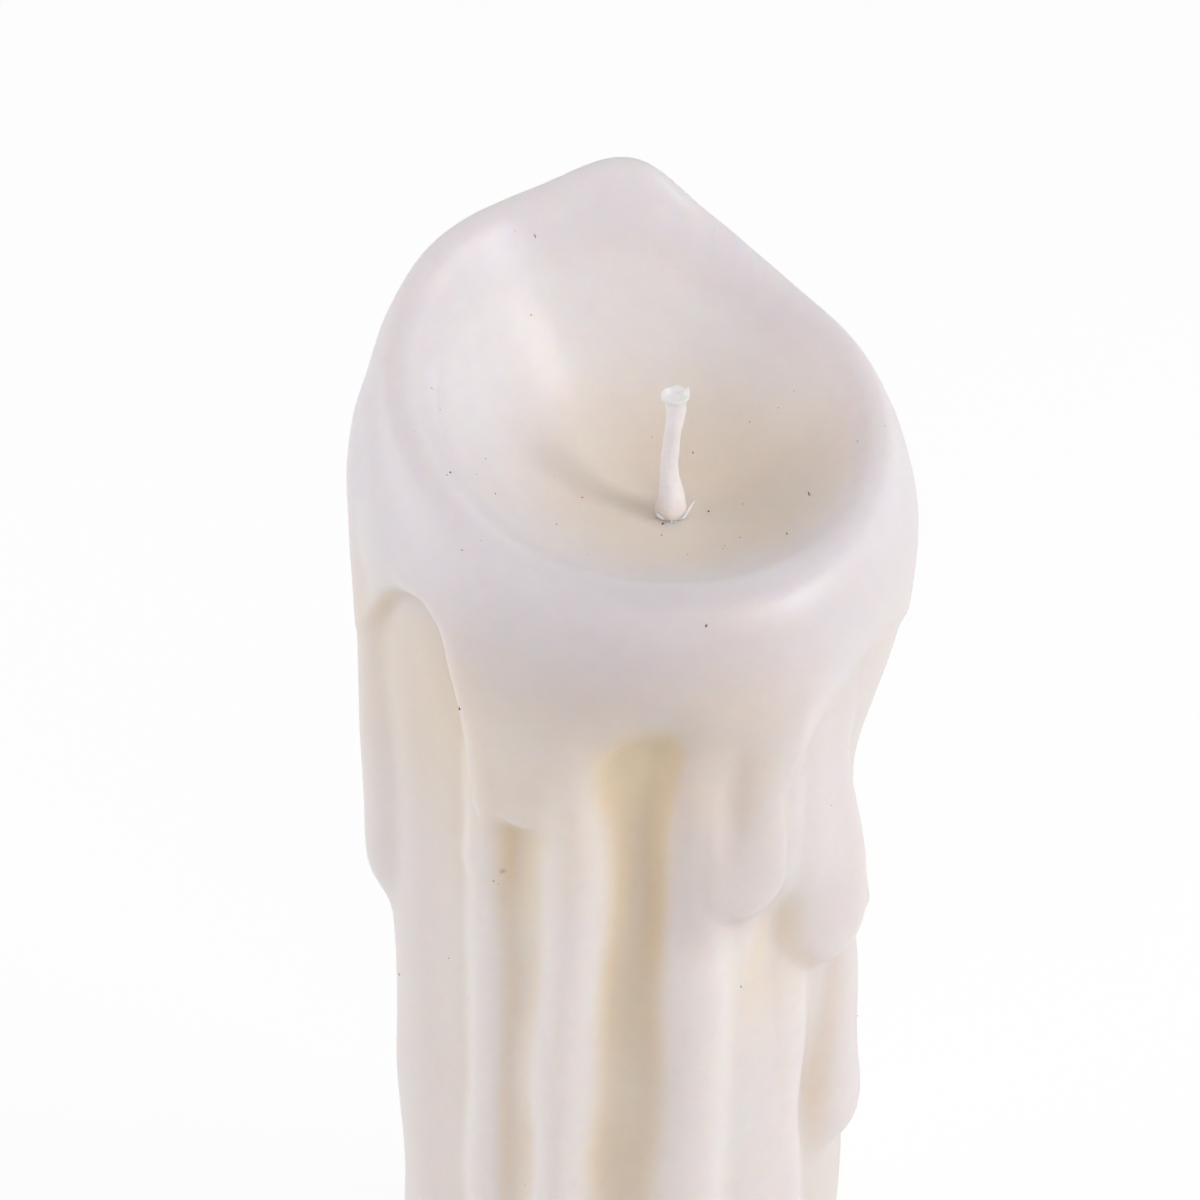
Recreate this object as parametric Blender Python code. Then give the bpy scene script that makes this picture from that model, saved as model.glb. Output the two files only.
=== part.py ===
"""A melted pillar candle: one cast body of wax with a burnt-out bowl and frozen runs, and its wick.

The wax is described by a field that is negative inside the wax, and a surface net turns the field
into a mesh. The lengths below are in millimetres, and MM turns them into Blender's metres. The
candle stands on z = 0 with its axis on Z. An angle of 0 degrees faces -Y, the front, and positive
angles go towards +X.
"""

import math
from collections import namedtuple

import bpy
import numpy as np

MM = 0.001

# Pillar
CORE_RADIUS = 24.6          # between the runs
FLARE_FROM = 90.0           # the pillar widens from here up to the underside of the rim
FLARE_TO = 114.0
BASE_ROUNDING = 0.8

# Bowl
BOWL_CENTRE = (4.9, 0.0)
BOWL_FLOOR = 120.6
BOWL_CREST_RADIUS = 27.0
BOWL_POWER = 2.4            # 1 would be a cone, and higher is flatter near the wick
BOWL_SHELF_SLOPE = 0.25     # of the flatter band between the bowl and the crest
BOWL_SHELF_BLEND = 0.3
BOWL_EVEN_TO = 0.5          # below this share of the way out, the crest's small waves do not show
RIM_LEAN = 2.6              # how far the outside leans in by the crest
RIM_LEAN_FROM = 15.0        # below the crest

# Wick
WICK_X = 4.9
WICK_RADIUS = 0.95
WICK_FOOT = 6.0
WICK_CLEARANCE = 0.3
WICK_SIDES = 12
BORE_SIDES = 24
BORE_TOP = 135.0

# Mesh of the wax
CELL = 1.1
REACH = 34.35
TOP = 154.0
FACES = 9000

# The rim around the candle: the height of its crest before rounding, the share of the way in that
# is a flatter shelf, how much the pillar flares below it, its thickness, and its rounding.
Rim = namedtuple("Rim", "angle crest shelf flare thickness rounding")
RIM = (
    Rim(177, 153.9, 0.04, 2.5, 4.2, 5.0),
    Rim(-157, 151.3, 0.04, 2.5, 4.2, 5.0),
    Rim(-127, 148.4, 0.05, 2.0, 4.2, 5.0),
    Rim(-95, 141.8, 0.08, 1.5, 4.2, 5.5),
    Rim(-62, 134.4, 0.15, 1.5, 5.0, 6.5),
    Rim(-30, 130.0, 0.15, 2.0, 5.6, 6.5),
    Rim(0, 127.8, 0.12, 2.0, 6.0, 6.5),
    Rim(38, 127.0, 0.08, 2.5, 6.2, 6.5),
    Rim(62, 129.4, 0.03, 4.0, 5.9, 6.5),
    Rim(86, 133.4, 0.0, 5.0, 5.7, 6.0),
    Rim(115, 138.7, 0.0, 4.5, 5.0, 5.5),
    Rim(141, 142.1, 0.02, 3.0, 4.6, 5.0),
    Rim(160, 147.8, 0.03, 2.5, 4.4, 5.0),
)

# The apron of wax that hangs from the rim: the height of its lower edge and its thickness there.
Apron = namedtuple("Apron", "angle edge thickness")
APRON = (
    Apron(-165, 108, 3.2),
    Apron(-140, 112, 3.2),
    Apron(-112, 108, 3.4),
    Apron(-88, 106, 3.8),
    Apron(-72, 113.5, 3.6),
    Apron(-62, 118.5, 3.6),
    Apron(-52, 120.5, 3.5),
    Apron(-45, 120, 3.4),
    Apron(-40.5, 115, 3.1),
    Apron(-36, 99, 2.8),
    Apron(-31, 97.5, 2.6),
    Apron(-25, 96.8, 2.4),
    Apron(-17, 99, 2.4),
    Apron(-8, 105.5, 2.6),
    Apron(2, 109.5, 2.8),
    Apron(10, 109, 2.8),
    Apron(18, 103, 2.8),
    Apron(36, 101, 3.2),
    Apron(45, 108.5, 3.6),
    Apron(55, 112, 4.2),
    Apron(70, 111.5, 4.4),
    Apron(86, 109, 5.2),
    Apron(108, 107, 4.6),
    Apron(130, 106, 3.6),
    Apron(160, 110, 3.2),
)
APRON_CAP = 2.2             # height of the apron's rounded lower edge
APRON_SHOULDER = 9.0        # below the crest, where the apron reaches its full thickness

# The runs of wax, each a rounded ridge on the pillar from its top down to its end. Its width is half
# of its full width at half its height, its taper is its size at the top over that at the end, its
# bulb is the swelling just above the end, and its fullness is 2 for gentle flanks and more for steep
# ones. An end below the ground is a run that goes all the way down.
Run = namedtuple("Run", "angle end_angle top end width thickness taper bulb fullness")
RUNS = (
    Run(-93, -93, 124, 71.2, 9.0, 4.2, 1.1, 0.0, 3.5),
    Run(-72, -72, 118, -40.0, 15.0, 1.4, 1.1, 0.0, 3),
    Run(-31.7, -37.5, 117, 88.0, 3.4, 2.4, 1.0, 0.0, 3),
    Run(-34.5, -40.0, 112, -30.0, 4.0, 2.2, 0.85, 0.0, 2.8),
    Run(-25.0, -35, 96, -30.0, 3.0, 0.1, 1.0, 0.0, 2),
    Run(-11.4, -24.4, 108, -30.0, 4.5, 3.7, 1.0, 0.0, 2.0),
    Run(6, 1, 108, -30.0, 4.0, 0.2, 1.0, 0.0, 2),
    Run(16.2, 14.2, 112, -30.0, 4.6, 4.0, 1.0, 0.0, 2.8),
    Run(26.5, 26.5, 114, 84.8, 5.9, 3.8, 1.0, 0.0, 4.2),
    Run(44, 47, 112, 82.0, 7.5, 2.7, 1.0, 0.0, 3),
    Run(30, 30, 113, -30.0, 7.5, 1.9, 1.0, 0.0, 6),
    Run(44.5, 43.5, 77, -30.0, 2.6, 1.5, 1.35, 0.0, 2.2),
    Run(50, 57, 110, 73.0, 6.8, 4.0, 0.7, 0.1, 4.5),
    Run(71, 68.5, 72, 44.3, 7.2, 3.3, 0.4, 0.05, 3.4),
    Run(101, 101, 71.5, 64.6, 3.4, 3.4, 0.8, 0.0, 3),
    Run(124, 122, 112, 52.0, 4.4, 3.6, 0.7, 0.1, 3),
    Run(142, 144, 112, -30.0, 3.9, 3.4, 1.2, 0.0, 3),
    Run(161, 160, 114, 80.0, 4.6, 4.0, 0.8, 0.1, 3),
    Run(161, 163, 86, 24.0, 3.4, 2.6, 0.8, 0.2, 3),
    Run(-178, -176, 114, -30.0, 3.9, 3.4, 1.2, 0.0, 3),
    Run(-159, -158, 114, 60.0, 4.0, 3.6, 0.7, 0.1, 3),
    Run(-141, -143, 114, -30.0, 3.6, 3.0, 1.2, 0.0, 3),
    Run(-123, -122, 120, 88.0, 4.8, 4.0, 0.8, 0.1, 3),
    Run(-121, -124, 94, 34.0, 3.6, 2.6, 0.8, 0.2, 3),
)
RUN_RADIUS = 27.0           # from the axis to where a run's width is measured
RUN_TOP_FADE = 1.8          # in widths of the run
RUN_WANDER = 0.5            # degrees to each side as a run comes down
RUN_WANDER_PITCH = 6.5
RUN_WAVE = 0.05             # share of a run's width and thickness
RUN_WAVE_PITCH = 4.3
RUN_BLEND = 1.6             # fillet between a run and what it lies on
RUN_REACH = 2.6             # beyond this many widths a run changes nothing

Dent = namedtuple("Dent", "angle height width tall depth")
DENTS = (
    Dent(22.4, 102, 2.0, 6.5, 0.6),
    Dent(42.5, 81, 5.0, 6.4, 2.5),
    Dent(36.5, 75, 4.4, 5.8, 1.2),
    Dent(53, 55, 3.5, 6.0, 1.2),
    Dent(5, 90, 3.4, 13.0, 0.7),
)

# The wick above the bowl's floor: height above the floor, sideways offset, and radius.
WICK_STATIONS = (
    (0.0, 0.0, 1.0),
    (0.7, -0.15, 1.1),
    (2.0, -0.45, 1.25),
    (4.0, -0.5, 1.1),
    (6.3, -0.72, 0.95),
    (9.0, -0.45, 0.98),
    (12.4, -0.1, 1.05),
    (13.9, -0.1, 1.25),
    (14.6, -0.1, 1.45),
    (15.0, -0.1, 1.2),
)


def smooth_step(t):
    t = np.clip(t, 0, 1)
    return t * t * (3 - 2 * t)


def blend_in(a, b, width):
    """The smaller of two fields, with a fillet of about that width where they meet."""
    near = np.maximum(width - np.abs(a - b), 0)
    return np.minimum(a, b) - near * near / (4 * width)


def blend_out(a, b, width):
    """The larger of two fields, with a rounded edge of about that width."""
    return -blend_in(-a, -b, width)


def turn(angle):
    """An angle brought to within half a turn of zero."""
    return (angle + math.pi) % (2 * math.pi) - math.pi


def around(knots, value, angle, waves=None):
    """A smooth closed curve through the knots' named value, or only its longest waves."""
    knots = sorted(knots, key=lambda knot: knot.angle)
    at = np.array([knot.angle for knot in knots], float)
    values = np.array([getattr(knot, value) for knot in knots], float)
    at = np.concatenate([at[-2:] - 360, at, at[:2] + 360])
    values = np.concatenate([values[-2:], values, values[:2]])
    slope = np.gradient(values, at)
    table = np.linspace(-180, 180, 721)
    left = np.searchsorted(at, table, side="right") - 1
    span = at[left + 1] - at[left]
    t = (table - at[left]) / span
    curve = (
        values[left] * (1 + 2 * t) * (1 - t) ** 2
        + slope[left] * span * t * (1 - t) ** 2
        + values[left + 1] * t**2 * (3 - 2 * t)
        + slope[left + 1] * span * t**2 * (t - 1)
    )
    if waves is not None:
        spectrum = np.fft.rfft(curve[:-1])
        spectrum[waves + 1:] = 0
        curve[:-1] = np.fft.irfft(spectrum, 720)
        curve[-1] = curve[0]
    return np.interp(np.degrees(angle), table, curve)


def run_field(run, angle, out, z):
    """One frozen run, with a rounded section, a rounded foot and a faded top."""
    fall = np.clip((run.top - z) / (run.top - run.end), 0, 1)
    wander = RUN_WANDER * np.sin(z / RUN_WANDER_PITCH + run.angle)
    centre = np.radians(run.angle + (run.end_angle - run.angle) * fall + wander)
    across = turn(angle - centre) * RUN_RADIUS
    foot = run.end + run.width
    swell = run.taper + (1 - run.taper) * fall + RUN_WAVE * np.sin(z / RUN_WAVE_PITCH - run.angle)
    swell = swell + run.bulb * np.exp(-(((z - foot) / (1.8 * run.width)) ** 2))
    beyond = np.maximum(foot - z, 0) + np.maximum(z - run.top, 0) / RUN_TOP_FADE
    away = np.hypot(across / (run.width * swell), beyond / run.width)
    # It starts below the surface, so that far away it changes nothing.
    return out + RUN_BLEND - (run.thickness * swell + RUN_BLEND) * 0.5 ** (away**run.fullness)


def run_is_near(run, angle, out, z):
    """Where a run can change the surface."""
    middle = math.radians((run.angle + run.end_angle) / 2)
    reach = RUN_REACH * run.width + RUN_BLEND
    lean = math.radians(abs(run.end_angle - run.angle) / 2 + RUN_WANDER) * RUN_RADIUS
    near = np.abs(turn(angle - middle)) * RUN_RADIUS < reach + lean
    near &= (z > run.end - reach) & (z < run.top + RUN_TOP_FADE * reach)
    return near & (out > -2 * RUN_BLEND)


def flare_at(angle, z):
    """How much wider the pillar is than its core, up to the underside of the rim."""
    return around(RIM, "flare", angle) * smooth_step((z - FLARE_FROM) / (FLARE_TO - FLARE_FROM))


def outer_field(x, y, z):
    """The pillar, the apron of wax that hangs from the rim, the runs below it and the dents."""
    angle = np.arctan2(x, -y)
    crest = around(RIM, "crest", angle)
    lean = RIM_LEAN * smooth_step((z - crest + RIM_LEAN_FROM) / RIM_LEAN_FROM)
    above = np.hypot(x, y) - CORE_RADIUS + lean
    edge = around(APRON, "edge", angle)
    thin = around(APRON, "thickness", angle)
    thick = around(RIM, "thickness", angle)
    shoulder = crest - APRON_SHOULDER
    depth = thin + (thick - thin) * smooth_step((z - edge) / (shoulder - edge))
    beyond = np.maximum(edge + APRON_CAP - z, 0) / APRON_CAP
    apron = (np.sqrt((np.maximum(above, 0) / depth) ** 2 + beyond**2) - 1) * depth
    field = blend_in(above - flare_at(angle, z), apron, RUN_BLEND)
    for run in RUNS:
        near = run_is_near(run, angle, above, z)
        ridge = run_field(run, angle[near], above[near], z[near])
        field[near] = blend_in(field[near], ridge, RUN_BLEND)
    for dent in DENTS:
        across = turn(angle - math.radians(dent.angle)) * RUN_RADIUS
        reach = (across / dent.width) ** 2 + ((z - dent.height) / dent.tall) ** 2
        field = field + dent.depth * np.exp(-reach)
    return field


def bowl_height(x, y):
    """The height of the burnt-out bowl over the plan, and the rounding of its lip."""
    cx, cy = BOWL_CENTRE
    dx = x - cx
    dy = y - cy
    far = np.maximum(np.hypot(dx, dy), 1e-6)
    along = (cx * dx + cy * dy) / far
    reach = -along + np.sqrt(along**2 + BOWL_CREST_RADIUS**2 - cx * cx - cy * cy)
    angle = np.arctan2(cx + dx / far * reach, -(cy + dy / far * reach))
    share = far / reach
    near_rim = smooth_step((share - BOWL_EVEN_TO) / (1 - BOWL_EVEN_TO))
    crest = around(RIM, "crest", angle) * near_rim + around(RIM, "crest", angle, 2) * (1 - near_rim)
    climb = share / (1 - around(RIM, "shelf", angle))
    rise = blend_in(climb**BOWL_POWER, 1 + BOWL_SHELF_SLOPE * (climb - 1), BOWL_SHELF_BLEND)
    return BOWL_FLOOR + (crest - BOWL_FLOOR) * rise, around(RIM, "rounding", angle)


def wax_field(x, y, z):
    """Negative inside the wax, and in millimetres near its surface."""
    height, rounding = bowl_height(x, y)
    top = (z - height) * 0.7
    field = blend_out(outer_field(x, y, z), top, rounding)
    return blend_out(field, -z, BASE_ROUNDING)


def surface_net(field, axes):
    """A closed quad mesh of the field's zero surface: one point in each grid cell that it crosses."""
    values = field(*np.meshgrid(*axes, indexing="ij"))
    cells = tuple(size - 1 for size in values.shape)
    point_sum = np.zeros(cells + (3,))
    crossings = np.zeros(cells)
    rings = []
    for a in range(3):
        low = [slice(None)] * 3
        high = [slice(None)] * 3
        low[a] = slice(0, -1)
        high[a] = slice(1, None)
        start = values[tuple(low)]
        end = values[tuple(high)]
        crossed = (start < 0) != (end < 0)
        place = np.argwhere(crossed)
        share = start[crossed] / (start[crossed] - end[crossed])
        point = np.stack([axis[place[:, i]] for i, axis in enumerate(axes)], axis=1)
        point[:, a] += share * np.diff(axes[a])[place[:, a]]
        ring = []
        for back_b, back_c in ((0, 0), (1, 0), (1, 1), (0, 1)):
            cell = place.copy()
            cell[:, (a + 1) % 3] -= back_b
            cell[:, (a + 2) % 3] -= back_c
            np.add.at(point_sum, tuple(cell.T), point)
            np.add.at(crossings, tuple(cell.T), 1)
            ring.append(cell)
        rings.append((ring, start[crossed] < 0))
    used = crossings > 0
    number = np.full(cells, -1)
    number[used] = np.arange(used.sum())
    points = point_sum[used] / crossings[used][:, None]
    faces = []
    for ring, leaving in rings:
        quads = np.stack([number[tuple(cell.T)] for cell in ring], axis=1)
        quads[~leaving] = quads[~leaving][:, ::-1]
        faces.append(quads)
    return points, np.concatenate(faces)


def tube(path, radii, sides):
    """A closed tube with level rings of points around the path, and flat ends."""
    angles = [2 * math.pi * i / sides for i in range(sides)]
    points = [
        (x + radius * math.cos(a), y + radius * math.sin(a), z)
        for (x, y, z), radius in zip(path, radii)
        for a in angles
    ]
    faces = []
    for ring in range(len(path) - 1):
        for i in range(sides):
            j = (i + 1) % sides
            low = ring * sides
            high = low + sides
            faces.append((low + i, low + j, high + j, high + i))
    top = (len(path) - 1) * sides
    faces.append(tuple(reversed(range(sides))))
    faces.append(tuple(range(top, top + sides)))
    return points, faces


def material(name, colour, roughness):
    made = bpy.data.materials.new(name)
    made.use_nodes = True
    made.diffuse_color = (*colour, 1)
    shader = made.node_tree.nodes["Principled BSDF"]
    shader.inputs["Base Color"].default_value = (*colour, 1)
    shader.inputs["Roughness"].default_value = roughness
    shader.inputs["Metallic"].default_value = 0
    return made


def add_object(name, points, faces):
    """An object with smooth shading, made from points in millimetres."""
    mesh = bpy.data.meshes.new(name)
    mesh.from_pydata((np.asarray(points) * MM).tolist(), [], [tuple(face) for face in faces])
    mesh.update()
    mesh.shade_smooth()
    made = bpy.data.objects.new(name, mesh)
    bpy.context.scene.collection.objects.link(made)
    return made


def wick_bore():
    """The cutter for the hole that the wick stands in."""
    path = [(WICK_X, 0, WICK_FOOT - WICK_CLEARANCE), (WICK_X, 0, BORE_TOP)]
    points, faces = tube(path, [WICK_RADIUS + WICK_CLEARANCE] * 2, BORE_SIDES)
    bore = add_object("wick_bore", points, faces)
    bore.hide_render = True
    bore.display_type = "WIRE"
    return bore


def wax_body():
    """The cast body: its mesh is thinned out, and then the wick's hole is cut."""
    across = np.arange(-REACH, REACH + CELL, CELL)
    up = np.arange(-2 * CELL, TOP, CELL)
    points, faces = surface_net(wax_field, (across, across, up))
    body = add_object("wax_body", points, faces)
    body.data.materials.append(material("wax", (0.80, 0.74, 0.69), 0.42))
    thinning = body.modifiers.new("fewer faces", "DECIMATE")
    thinning.ratio = FACES / (2 * len(faces))
    boolean = body.modifiers.new("wick's hole", "BOOLEAN")
    boolean.operation = "DIFFERENCE"
    boolean.solver = "EXACT"
    boolean.object = wick_bore()


def wick():
    """The braided wick as one solid, from deep in the wax to its flared, pinched tip."""
    path = [(WICK_X, 0, WICK_FOOT)]
    radii = [WICK_RADIUS]
    for rise, offset, width in WICK_STATIONS:
        path.append((WICK_X + offset, 0, BOWL_FLOOR + rise))
        radii.append(WICK_RADIUS * width)
    points, faces = tube(path, radii, WICK_SIDES)
    made = add_object("wick", points, faces)
    made.data.materials.append(material("wick", (0.76, 0.72, 0.67), 0.7))


def main():
    for old in list(bpy.data.objects):
        bpy.data.objects.remove(old, do_unlink=True)
    wax_body()
    wick()


main()
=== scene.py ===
"""Looks for a melted pillar candle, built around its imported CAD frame.

One finely meshed wax body replaces the plain CAD one, and a braided wick replaces the plain one.
Crumbs of wax lie at the wick's foot, and specks of dirt are stuck to the wax. The candle's lengths
are in millimetres up to the point where a mesh is made, and MM turns them into Blender's metres. The
lamps and the floor are in metres. An angle of 0 degrees faces -Y, the front, and positive angles go
towards +X.
"""

import math
import random
from collections import namedtuple

import bmesh
import bpy
import numpy as np
from mathutils import Euler, Matrix, Vector


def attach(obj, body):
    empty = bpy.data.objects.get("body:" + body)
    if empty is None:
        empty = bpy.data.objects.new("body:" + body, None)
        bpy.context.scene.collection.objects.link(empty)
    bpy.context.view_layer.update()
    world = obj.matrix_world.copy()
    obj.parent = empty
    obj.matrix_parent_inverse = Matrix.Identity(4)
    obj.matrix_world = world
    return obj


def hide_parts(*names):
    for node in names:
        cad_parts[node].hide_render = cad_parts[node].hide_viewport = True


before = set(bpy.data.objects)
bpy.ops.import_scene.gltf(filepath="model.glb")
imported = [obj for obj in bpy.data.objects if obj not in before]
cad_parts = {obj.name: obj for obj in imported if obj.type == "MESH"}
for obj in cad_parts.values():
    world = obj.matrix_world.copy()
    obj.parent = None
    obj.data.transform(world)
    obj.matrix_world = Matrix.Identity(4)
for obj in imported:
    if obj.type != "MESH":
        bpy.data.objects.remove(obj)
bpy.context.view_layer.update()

MM = 0.001
SEED = 11

# Camera
CAMERA_TARGET = (-3.0, 0.0, 110.0)
CAMERA_ELEVATION = 33.0
CAMERA_DISTANCE = 450.0
CAMERA_LENS = 127.0
CAMERA_SENSOR = 36.0
CAMERA_NEAREST = 10.0

# Studio, in metres
WORLD_LIGHT = 0.33          # strength of the light that the world gives
WORLD_SHOWN = 0.99          # and how bright the world itself looks
FLOOR_HALF = 3.0
FLOOR_GLOW = 1.045          # the floor's own light, and its share in how the floor looks
FLOOR_GLOW_SHARE = 0.85
LAMP_AIM = (0, 0, 0.12)
Lamp = namedtuple("Lamp", "name direction distance size power")
LAMPS = (
    Lamp("key", (0.81, -0.30, 0.48), 0.9, 0.4, 3.0),
    Lamp("front", (0.25, -0.80, 0.55), 1.1, 0.9, 2.3),
    Lamp("left", (-1.0, -0.08, 0.45), 1.1, 0.9, 3.1),
    Lamp("low_left", (-1.0, -0.1, 0.0), 1.1, 0.9, 1.8),
    Lamp("back_left", (-0.75, 0.45, 0.4), 1.1, 0.9, 1.2),
    Lamp("back_right", (0.8, 0.45, 0.12), 1.1, 0.9, 1.2),
)

# Colours, as red, green, blue and opacity
WAX_OPEN = (0.885, 0.843, 0.873, 1)
WAX_WARM_SHADE = (0.855, 0.71, 0.53, 1)  # painted shade: the warm, darker colour put where the wax is closed in or in shade
RIM_SHADE_TINT = (0.82, 0.80, 0.815, 1)     # painted shade: multiplies the colour of the rim and the apron to darken and cool them
CRUMB_LIGHT = (0.90, 0.85, 0.87, 1)
CRUMB_DARK = (0.82, 0.76, 0.76, 1)
WICK_LIGHT = (0.94, 0.905, 0.925, 1)
WICK_DARK = (0.89, 0.85, 0.865, 1)
WICK_FOOT_COLOUR = (0.80, 0.71, 0.66, 1)
DIRT_DARK = (0.03, 0.025, 0.02, 1)
DIRT_BROWN = (0.30, 0.2, 0.13, 1)
SMEAR_BROWN = (0.34, 0.24, 0.19, 1)
WHITE = (1, 1, 1, 1)
FLOOR_GREY = (0.9, 0.9, 0.9, 1)
WAX_IOR = 1.44              # refractive index of paraffin
NOISE_MIDDLE = 0.5          # the value that a noise pattern varies about

# Pillar
CORE_RADIUS = 24.6          # between the runs
FLARE_FROM = 90.0           # the pillar widens from here up to the underside of the rim
FLARE_TO = 114.0
BASE_ROUNDING = 0.8
BASE_EVEN_TO = 3.0          # the unevenness fades in over this height, so that the base stays flat

# Bowl
BOWL_CENTRE = (4.9, 0.0)
BOWL_FLOOR = 120.6
BOWL_CREST_RADIUS = 27.0
BOWL_POWER = 2.4            # 1 would be a cone, and higher is flatter near the wick
BOWL_SHELF_SLOPE = 0.25     # of the flatter band between the bowl and the crest
BOWL_SHELF_BLEND = 0.3
BOWL_EVEN_TO = 0.5          # below this share of the way out, the crest's small waves do not show
BOWL_SLANT = 0.7            # turns a height over the bowl into a distance from its sloping wall
RIM_LEAN = 2.6              # how far the outside leans in by the crest
RIM_LEAN_FROM = 15.0        # below the crest

# Wick
WICK_X = 4.9
WICK_SUNK = 2.5             # of the modelled wick, below the bowl's floor
MENISCUS_HEIGHT = 0.9       # of the wax drawn up round the wick
MENISCUS_SPREAD = 1.7

# Mesh of the wax
CELL = 0.58
LOW_CELL = 1.1              # in height, where the runs hang straight
LOW_TO = 66.0
REACH = 34.0
TOP = 154.0

# The rim around the candle: the height of its crest before rounding, the share of the way in that
# is a flatter shelf, how much the pillar flares below it, its thickness, and its rounding.
Rim = namedtuple("Rim", "angle crest shelf flare thickness rounding")
RIM = (
    Rim(177, 153.9, 0.04, 2.5, 4.2, 5.0),
    Rim(-157, 151.3, 0.04, 2.5, 4.2, 5.0),
    Rim(-127, 148.4, 0.05, 2.0, 4.2, 5.0),
    Rim(-95, 141.8, 0.08, 1.5, 4.2, 5.5),
    Rim(-62, 134.4, 0.15, 1.5, 5.0, 6.5),
    Rim(-30, 130.0, 0.15, 2.0, 5.6, 6.5),
    Rim(0, 127.8, 0.12, 2.0, 6.0, 6.5),
    Rim(38, 127.0, 0.08, 2.5, 6.2, 6.5),
    Rim(62, 129.4, 0.03, 4.0, 5.9, 6.5),
    Rim(86, 133.4, 0.0, 5.0, 5.7, 6.0),
    Rim(115, 138.7, 0.0, 4.5, 5.0, 5.5),
    Rim(141, 142.1, 0.02, 3.0, 4.6, 5.0),
    Rim(160, 147.8, 0.03, 2.5, 4.4, 5.0),
)

# The apron of wax that hangs from the rim: the height of its lower edge and its thickness there.
Apron = namedtuple("Apron", "angle edge thickness")
APRON = (
    Apron(-165, 108, 3.2),
    Apron(-140, 112, 3.2),
    Apron(-112, 108, 3.4),
    Apron(-88, 106, 3.8),
    Apron(-72, 113.5, 3.6),
    Apron(-62, 118.5, 3.6),
    Apron(-52, 120.5, 3.5),
    Apron(-45, 120, 3.4),
    Apron(-40.5, 115, 3.1),
    Apron(-36, 99, 2.8),
    Apron(-31, 97.5, 2.6),
    Apron(-25, 96.8, 2.4),
    Apron(-17, 99, 2.4),
    Apron(-8, 105.5, 2.6),
    Apron(2, 109.5, 2.8),
    Apron(10, 109, 2.8),
    Apron(18, 103, 2.8),
    Apron(36, 101, 3.2),
    Apron(45, 108.5, 3.6),
    Apron(55, 112, 4.2),
    Apron(70, 111.5, 4.4),
    Apron(86, 109, 5.2),
    Apron(108, 107, 4.6),
    Apron(130, 106, 3.6),
    Apron(160, 110, 3.2),
)
APRON_CAP = 2.2             # height of the apron's rounded lower edge
APRON_SHOULDER = 9.0        # below the crest, where the apron reaches its full thickness

# The runs of wax, each a rounded ridge on the pillar from its top down to its end. Its width is half
# of its full width at half its height, its taper is its size at the top over that at the end, its
# bulb is the swelling just above the end, and its fullness is 2 for gentle flanks and more for steep
# ones. An end below the ground is a run that goes all the way down.
Run = namedtuple("Run", "angle end_angle top end width thickness taper bulb fullness")
RUNS = (
    Run(-93, -93, 124, 71.2, 9.0, 4.2, 1.1, 0.0, 3.5),
    Run(-72, -72, 118, -40.0, 15.0, 1.4, 1.1, 0.0, 3),
    Run(-31.7, -37.5, 117, 88.0, 3.4, 2.4, 1.0, 0.0, 3),
    Run(-34.5, -40.0, 112, -30.0, 4.0, 2.2, 0.85, 0.0, 2.8),
    Run(-25.0, -35, 96, -30.0, 3.0, 0.1, 1.0, 0.0, 2),
    Run(-11.4, -24.4, 108, -30.0, 4.5, 3.7, 1.0, 0.0, 2.0),
    Run(6, 1, 108, -30.0, 4.0, 0.2, 1.0, 0.0, 2),
    Run(16.2, 14.2, 112, -30.0, 4.6, 4.0, 1.0, 0.0, 2.8),
    Run(26.5, 26.5, 114, 84.8, 5.9, 4.1, 1.0, 0.0, 4.6),
    Run(44, 47, 112, 82.0, 7.5, 2.7, 1.0, 0.0, 3),
    Run(30, 30, 113, -30.0, 7.5, 1.9, 1.0, 0.0, 6),
    Run(44.5, 43.5, 77, -30.0, 2.6, 1.5, 1.35, 0.0, 2.2),
    Run(50, 57, 110, 73.0, 6.8, 4.0, 0.7, 0.1, 4.5),
    Run(71, 68.5, 72, 44.3, 7.2, 3.3, 0.4, 0.05, 3.4),
    Run(101, 101, 71.5, 64.6, 3.4, 3.4, 0.8, 0.0, 3),
    Run(124, 122, 112, 52.0, 4.4, 3.6, 0.7, 0.1, 3),
    Run(142, 144, 112, -30.0, 3.9, 3.4, 1.2, 0.0, 3),
    Run(161, 160, 114, 80.0, 4.6, 4.0, 0.8, 0.1, 3),
    Run(161, 163, 86, 24.0, 3.4, 2.6, 0.8, 0.2, 3),
    Run(-178, -176, 114, -30.0, 3.9, 3.4, 1.2, 0.0, 3),
    Run(-159, -158, 114, 60.0, 4.0, 3.6, 0.7, 0.1, 3),
    Run(-141, -143, 114, -30.0, 3.6, 3.0, 1.2, 0.0, 3),
    Run(-123, -122, 120, 88.0, 4.8, 4.0, 0.8, 0.1, 3),
    Run(-121, -124, 94, 34.0, 3.6, 2.6, 0.8, 0.2, 3),
)
RUN_RADIUS = 27.0           # from the axis to where a run's width is measured
RUN_TOP_FADE = 1.8          # in widths of the run
RUN_WANDER = 0.5            # degrees to each side as a run comes down
RUN_WANDER_PITCH = 6.5
RUN_WAVE = 0.05             # share of a run's width and thickness
RUN_WAVE_PITCH = 4.3
RUN_BULB_TALL = 1.8         # in widths of the run
RUN_BLEND = 1.6             # fillet between a run and what it lies on
RUN_REACH = 2.6             # beyond this many widths a run changes nothing

# Soft dents in the outside: the place, how far they reach across and up, and how deep they are.
Dent = namedtuple("Dent", "angle height width tall depth")
DENTS = (
    Dent(22.0, 101.5, 1.9, 6.5, 0.9),
    Dent(42.5, 81, 5.0, 6.4, 2.5),
    Dent(36.5, 75, 4.4, 5.8, 1.2),
    Dent(53, 55, 3.5, 6.0, 1.2),
    Dent(5, 90, 3.4, 13.0, 0.7),
)

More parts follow.
